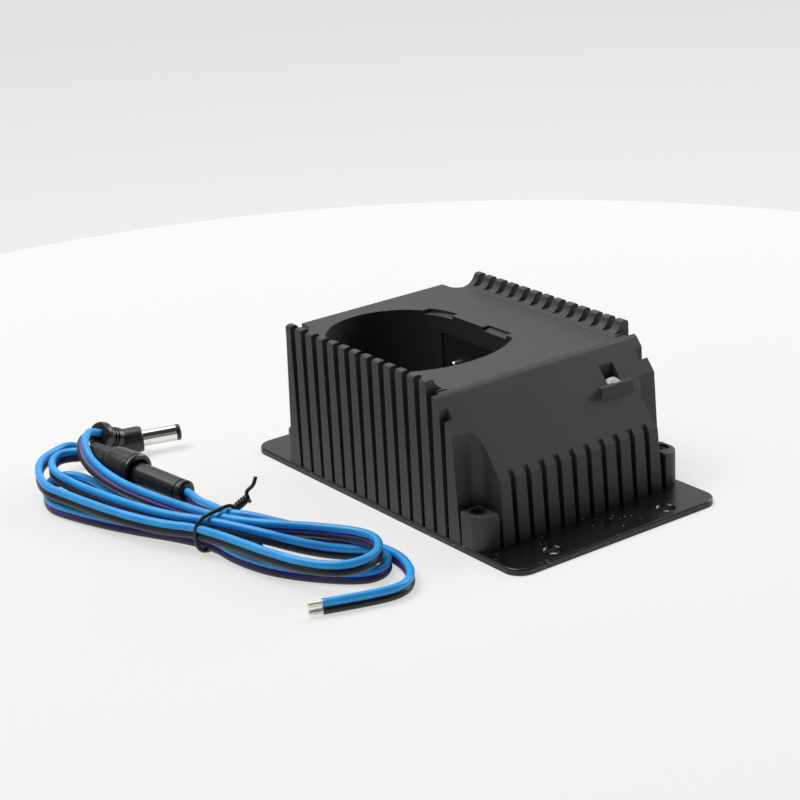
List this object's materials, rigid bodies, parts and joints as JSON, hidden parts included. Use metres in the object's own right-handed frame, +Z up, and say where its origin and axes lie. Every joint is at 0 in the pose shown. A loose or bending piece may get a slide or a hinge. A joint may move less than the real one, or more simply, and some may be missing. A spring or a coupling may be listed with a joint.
{
  "type": "lamp_battery_charger",
  "caption": "Ribbed black charger for a hand lamp on a flanged base plate, with a contact well, status lamp and a hanked twin lead with plug and fuse holder.",
  "frame": {"origin": "middle of the base plate's underside", "axes": "+Z up, -Y towards the sloping front, +X to the right seen from the front"},
  "size_m": [0.1606, 0.1731, 0.0505],
  "materials": {
    "housing_plastic": "spark-textured black moulded plastic",
    "plate_plastic": "satin black moulded plastic",
    "screw_steel": "zinc-plated steel",
    "contact_metal": "nickel-plated contact metal",
    "contact_plastic": "black moulded plastic",
    "lamp_lens": "milky translucent lamp body",
    "board_laminate": "green board laminate",
    "component_plastic": "black component moulding",
    "can_aluminium": "sleeved aluminium can",
    "winding_copper": "enamelled copper winding",
    "plug_plastic": "semi-gloss black moulded plastic",
    "barrel_nickel": "bright nickel plating",
    "fuse_glass": "clear glass tube",
    "lead_sheath": "twin sheath, blue and black",
    "tinned_copper": "tinned copper strands",
    "tie_plastic": "black coated tie wire",
    "inner_wire": "insulated hook-up wire"
  },
  "bodies": {
    "charger": {"housing": "housing_plastic", "base_plate": "plate_plastic", "housing_screws": "screw_steel", "contact_block": "contact_plastic", "contact_spring_negative": "screw_steel", "contact_terminal_negative": "contact_metal", "contact_wire_negative": "inner_wire", "contact_spring_positive": "screw_steel", "contact_terminal_positive": "contact_metal", "contact_wire_positive": "inner_wire", "status_lamp": "lamp_lens", "status_lamp_leads": "tinned_copper", "circuit_board": "board_laminate", "board_screws": "screw_steel", "supply_socket": "component_plastic", "supply_socket_pin": "contact_metal", "capacitors": "can_aluminium", "inductor": "winding_copper", "charge_controller": "component_plastic", "power_transistor": "component_plastic", "rectifier_diodes": "component_plastic", "plug_body": "plug_plastic", "plug_barrel": "barrel_nickel", "plug_insulator": "plug_plastic", "plug_contact": "contact_metal", "fuse_cap": "plug_plastic", "fuse_body": "plug_plastic", "fuse_glass": "fuse_glass", "fuse_ends": "contact_metal", "fuse_contacts": "contact_metal", "fuse_spring": "screw_steel", "supply_lead": "lead_sheath", "output_lead": "lead_sheath", "bare_ends": "tinned_copper", "twist_tie": "tie_plastic"},
    "negative_contact": {"contact_pin_negative": "contact_metal"},
    "positive_contact": {"contact_pin_positive": "contact_metal"}
  },
  "joints": [
    {"name": "negative_contact_travel", "type": "slide", "parent": "charger", "child": "negative_contact", "axis": [1, 0, 0], "range_m": [0, 0.0018], "stiffness_N_per_m": 300, "deforming": ["contact_spring_negative"]},
    {"name": "positive_contact_travel", "type": "slide", "parent": "charger", "child": "positive_contact", "axis": [1, 0, 0], "range_m": [0, 0.0018], "stiffness_N_per_m": 300, "deforming": ["contact_spring_positive"]}
  ]
}
